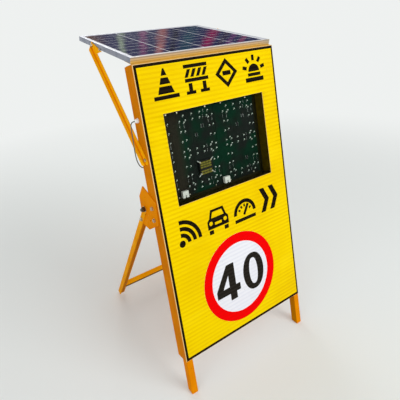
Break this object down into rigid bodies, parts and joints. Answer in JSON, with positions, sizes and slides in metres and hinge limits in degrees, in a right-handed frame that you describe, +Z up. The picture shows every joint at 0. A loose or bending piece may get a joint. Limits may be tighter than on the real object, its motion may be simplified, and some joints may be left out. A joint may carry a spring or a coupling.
{
  "type": "solar radar speed limit sign",
  "caption": "Free-standing speed limit sign: a shallow steel cabinet with a lamp display window, leaning back on a folding rear leg frame, with a tilted solar panel on braced struts above.",
  "frame": {"origin": "on the ground, under the middle of the sign's bounding box without the free lead", "axes": "+Z up; the sign's face looks towards -Y and leans back towards +Y; +X is to the right of a viewer who faces the sign"},
  "size_m": [0.7395, 0.7786, 1.4203],
  "materials": {
    "cabinet_paint": "satin yellow-orange powder coat",
    "frame_paint": "satin yellow-orange powder coat",
    "sheeting": "ribbed reflective sheeting",
    "roundel": "printed reflective sheeting",
    "zinc": "bright zinc",
    "pivot_steel": "oiled steel",
    "galvanised": "galvanised sheet",
    "aluminium": "clear anodised",
    "heat_sink": "black anodised",
    "solar_laminate": "glass over dark cells",
    "window_clear": "clear acrylic",
    "rubber": "matt",
    "tray_paint": "matt dark olive",
    "board_green": "solder mask",
    "lamp_clear": "clear epoxy",
    "white_nylon": "moulded",
    "black_plastic": "moulded",
    "battery_case": "moulded",
    "webbing": "woven strap",
    "terminal_green": "moulded",
    "lead_black": "smooth jacket"
  },
  "bodies": {
    "cabinet": {"cabinet_shell": "cabinet_paint", "rear_cover": "cabinet_paint", "cover_screws": "zinc", "face_film": "sheeting", "roundel_film": "roundel", "left_post": "frame_paint", "right_post": "frame_paint", "post_plugs": "black_plastic", "lower_rail": "galvanised", "upper_rail": "galvanised", "display_studs": "zinc", "window_gasket": "rubber", "window_pane": "window_clear", "display_tray": "tray_paint", "left_digit_board": "board_green", "left_digit_lamps": "lamp_clear", "right_digit_board": "board_green", "right_digit_lamps": "lamp_clear", "board_pillars": "zinc", "edge_board": "board_green", "edge_lamps": "lamp_clear", "radar_board": "black_plastic", "radar_pillars": "zinc", "board_plugs": "white_nylon", "battery": "battery_case", "battery_tray": "galvanised", "battery_strap": "webbing", "equipment_plate": "galvanised", "charge_controller": "heat_sink", "control_board": "board_green", "control_pillars": "zinc", "terminal_block": "terminal_green", "left_pivot_plate": "frame_paint", "right_pivot_plate": "frame_paint", "plate_bolts": "zinc", "plate_nuts": "zinc", "pivot_bolts": "pivot_steel", "pivot_washers": "zinc", "pivot_nuts": "pivot_steel", "lock_nuts": "zinc", "panel_bar_front": "aluminium", "panel_bar_rear": "aluminium", "panel_bar_left": "aluminium", "panel_bar_right": "aluminium", "panel_laminate": "solar_laminate", "junction_box": "black_plastic", "junction_lid": "black_plastic", "seat_strip": "frame_paint", "seat_bolts": "zinc", "left_strut": "frame_paint", "right_strut": "frame_paint", "strut_bolts": "zinc", "strut_spacers": "zinc", "cable_gland": "white_nylon", "gland_nut": "white_nylon", "panel_lead": "lead_black"},
    "leg_frame": {"left_leg": "frame_paint", "right_leg": "frame_paint", "crossbar": "frame_paint", "lock_bolts": "zinc"}
  },
  "joints": [
    {"name": "leg_fold", "type": "hinge", "parent": "cabinet", "child": "leg_frame", "pos_m": [0, -0.12191, 0.76407], "axis": [-1, 0, 0], "range_deg": [0, 41]}
  ]
}
